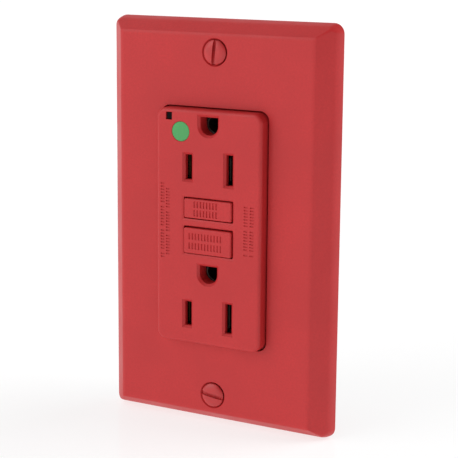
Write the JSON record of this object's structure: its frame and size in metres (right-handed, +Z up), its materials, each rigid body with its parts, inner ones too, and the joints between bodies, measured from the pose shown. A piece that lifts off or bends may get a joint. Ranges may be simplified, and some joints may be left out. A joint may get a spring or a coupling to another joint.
{
  "type": "gfci outlet",
  "caption": "Red duplex ground-fault receptacle with test and reset buttons, polarised slots, round-bottomed ground holes and a bevelled wall plate.",
  "frame": {"origin": "centre of the wall plate on the wall plane, which is the plane of the plate's rim and the backs of the strap ears", "axes": "X to the right seen from the front, Y into the wall (the face looks along -Y), Z up"},
  "size_m": [0.0698, 0.0409, 0.1142],
  "materials": {
    "red_plastic": "satin moulded thermoplastic",
    "red_enamel": "painted steel screw head",
    "green_plastic": "moulded green marker",
    "smoked_plastic": "smoked light pipe, dark when unlit",
    "black_plastic": "moulded phenolic or nylon",
    "grey_plastic": "moulded",
    "white_plastic": "moulded",
    "green_enamel": "green dyed zinc plate",
    "zinc_steel": "zinc plated",
    "spring_steel": "bright",
    "brass": "bright",
    "nickel_brass": "nickel plated brass",
    "copper": "enamelled or bare copper",
    "ferrite": "coated magnetic ring",
    "fibre_board": "vulcanised fibre",
    "board_laminate": "glass-epoxy laminate",
    "blue_resin": "dipped epoxy",
    "tan_resin": "dipped epoxy"
  },
  "bodies": {
    "housing": {"wallplate": "red_plastic", "face_cover": "red_plastic", "indicator_lens": "smoked_plastic", "grade_marker_dot": "green_plastic", "reset_spring": "spring_steel", "test_contact_pin": "brass", "mounting_strap": "zinc_steel", "screw_retainer_top": "fibre_board", "screw_retainer_bottom": "fibre_board", "upper_ground_contact": "nickel_brass", "lower_ground_contact": "nickel_brass", "hot_face_contact": "brass", "neutral_face_contact": "nickel_brass", "middle_housing": "black_plastic", "back_body": "black_plastic", "case_screw_1": "zinc_steel", "case_screw_2": "zinc_steel", "case_screw_3": "zinc_steel", "case_screw_4": "zinc_steel", "hot_line_bus": "copper", "neutral_line_bus": "copper", "solenoid_bobbin": "white_plastic", "solenoid_winding": "copper", "solenoid_yoke": "zinc_steel", "plunger_spring": "spring_steel", "circuit_board": "board_laminate", "transformer_housing": "grey_plastic", "sense_transformer_core": "ferrite", "neutral_transformer_core": "ferrite", "surge_suppressor": "blue_resin", "filter_capacitor": "tan_resin", "control_chip": "black_plastic", "test_resistor": "tan_resin", "status_led": "white_plastic", "load_hot_terminal": "brass", "load_neutral_terminal": "nickel_brass", "line_hot_terminal": "brass", "line_neutral_terminal": "nickel_brass"},
    "test_button": {"test_button": "red_plastic"},
    "test_leaf": {"test_leaf_spring": "copper"},
    "reset_button": {"reset_button": "red_plastic", "reset_pin": "spring_steel"},
    "plunger": {"solenoid_plunger": "spring_steel"},
    "lifter": {"contact_lifter": "white_plastic"},
    "latch": {"latch_plate": "spring_steel"},
    "hot_arm": {"hot_contact_arm": "copper"},
    "neutral_arm": {"neutral_contact_arm": "copper"},
    "ground_screw": {"ground_screw": "green_enamel"},
    "plate_screw_top": {"plate_screw_top": "red_enamel"},
    "plate_screw_bottom": {"plate_screw_bottom": "red_enamel"},
    "mounting_screw_top": {"mounting_screw_top": "zinc_steel"},
    "mounting_screw_bottom": {"mounting_screw_bottom": "zinc_steel"},
    "load_hot_screw": {"load_hot_screw": "brass"},
    "load_hot_clamp": {"load_hot_clamp": "zinc_steel"},
    "load_neutral_screw": {"load_neutral_screw": "nickel_brass"},
    "load_neutral_clamp": {"load_neutral_clamp": "zinc_steel"},
    "line_hot_screw": {"line_hot_screw": "brass"},
    "line_hot_clamp": {"line_hot_clamp": "zinc_steel"},
    "line_neutral_screw": {"line_neutral_screw": "nickel_brass"},
    "line_neutral_clamp": {"line_neutral_clamp": "zinc_steel"}
  },
  "joints": [
    {"name": "test_push", "type": "slide", "parent": "housing", "child": "test_button", "axis": [0, 1, 0], "range_m": [0, 0.0013], "stiffness_N_per_m": 400},
    {"name": "test_leaf_bend", "type": "hinge", "parent": "housing", "child": "test_leaf", "pos_m": [0, -0.0042, 0.017], "axis": [1, 0, 0], "range_deg": [0, 6.6]},
    {"name": "reset_push", "type": "slide", "parent": "housing", "child": "reset_button", "axis": [0, 1, 0], "range_m": [-0.0016, 0.001], "stiffness_N_per_m": 400, "deforming": ["reset_spring"]},
    {"name": "lifter_drop", "type": "slide", "parent": "housing", "child": "lifter", "axis": [0, 1, 0], "range_m": [0, 0.0016], "stiffness_N_per_m": 300, "springref_m": -0.0005},
    {"name": "hot_arm_bend", "type": "hinge", "parent": "housing", "child": "hot_arm", "pos_m": [0, 0.00845, 0.0105], "axis": [1, 0, 0], "range_deg": [0, 6.6]},
    {"name": "neutral_arm_bend", "type": "hinge", "parent": "housing", "child": "neutral_arm", "pos_m": [0, 0.00845, 0.0105], "axis": [1, 0, 0], "range_deg": [0, 6.6]},
    {"name": "solenoid_pull", "type": "slide", "parent": "housing", "child": "plunger", "axis": [0, 0, -1], "range_m": [0, 0.0012], "stiffness_N_per_m": 200, "springref_m": -0.0008, "deforming": ["plunger_spring"]},
    {"name": "latch_slide", "type": "slide", "parent": "lifter", "child": "latch", "axis": [0, 0, -1], "range_m": [0, 0.0012]},
    {"name": "load_hot_screw_turn", "type": "hinge", "parent": "housing", "child": "load_hot_screw", "pos_m": [-0.0187, 0.0155, 0.021], "axis": [-1, 0, 0], "range_deg": [0, 900]},
    {"name": "load_hot_clamp_slide", "type": "slide", "parent": "housing", "child": "load_hot_clamp", "axis": [-1, 0, 0], "range_m": [-0.00198, 0]},
    {"name": "load_neutral_screw_turn", "type": "hinge", "parent": "housing", "child": "load_neutral_screw", "pos_m": [0.0187, 0.0155, 0.021], "axis": [1, 0, 0], "range_deg": [0, 900]},
    {"name": "load_neutral_clamp_slide", "type": "slide", "parent": "housing", "child": "load_neutral_clamp", "axis": [1, 0, 0], "range_m": [-0.00198, 0]},
    {"name": "line_hot_screw_turn", "type": "hinge", "parent": "housing", "child": "line_hot_screw", "pos_m": [-0.0187, 0.0155, -0.021], "axis": [-1, 0, 0], "range_deg": [0, 900]},
    {"name": "line_hot_clamp_slide", "type": "slide", "parent": "housing", "child": "line_hot_clamp", "axis": [-1, 0, 0], "range_m": [-0.00198, 0]},
    {"name": "line_neutral_screw_turn", "type": "hinge", "parent": "housing", "child": "line_neutral_screw", "pos_m": [0.0187, 0.0155, -0.021], "axis": [1, 0, 0], "range_deg": [0, 900]},
    {"name": "line_neutral_clamp_slide", "type": "slide", "parent": "housing", "child": "line_neutral_clamp", "axis": [1, 0, 0], "range_m": [-0.00198, 0]},
    {"name": "ground_screw_turn", "type": "hinge", "parent": "housing", "child": "ground_screw", "pos_m": [-0.0145, 0.005, -0.0371], "axis": [0, 0, -1], "continuous": true},
    {"name": "plate_screw_top_turn", "type": "hinge", "parent": "housing", "child": "plate_screw_top", "pos_m": [0, -0.0071, 0.04842], "axis": [0, -1, 0], "continuous": true},
    {"name": "mounting_screw_top_turn", "type": "hinge", "parent": "housing", "child": "mounting_screw_top", "pos_m": [0, -0.0017, 0.04167], "axis": [0, -1, 0], "continuous": true},
    {"name": "plate_screw_bottom_turn", "type": "hinge", "parent": "housing", "child": "plate_screw_bottom", "pos_m": [0, -0.0071, -0.04842], "axis": [0, -1, 0], "continuous": true},
    {"name": "mounting_screw_bottom_turn", "type": "hinge", "parent": "housing", "child": "mounting_screw_bottom", "pos_m": [0, -0.0017, -0.04167], "axis": [0, -1, 0], "continuous": true}
  ],
  "couplings": [
    {"joint": "test_leaf_bend", "follows": "test_push", "rad_per_m": 87.719},
    {"joint": "hot_arm_bend", "follows": "lifter_drop", "rad_per_m": 71.429},
    {"joint": "neutral_arm_bend", "follows": "lifter_drop", "rad_per_m": 71.429},
    {"joint": "latch_slide", "follows": "solenoid_pull", "ratio": 1},
    {"joint": "load_hot_screw_turn", "follows": "load_hot_clamp_slide", "rad_per_m": -7915.8},
    {"joint": "load_neutral_screw_turn", "follows": "load_neutral_clamp_slide", "rad_per_m": -7915.8},
    {"joint": "line_hot_screw_turn", "follows": "line_hot_clamp_slide", "rad_per_m": -7915.8},
    {"joint": "line_neutral_screw_turn", "follows": "line_neutral_clamp_slide", "rad_per_m": -7915.8}
  ]
}
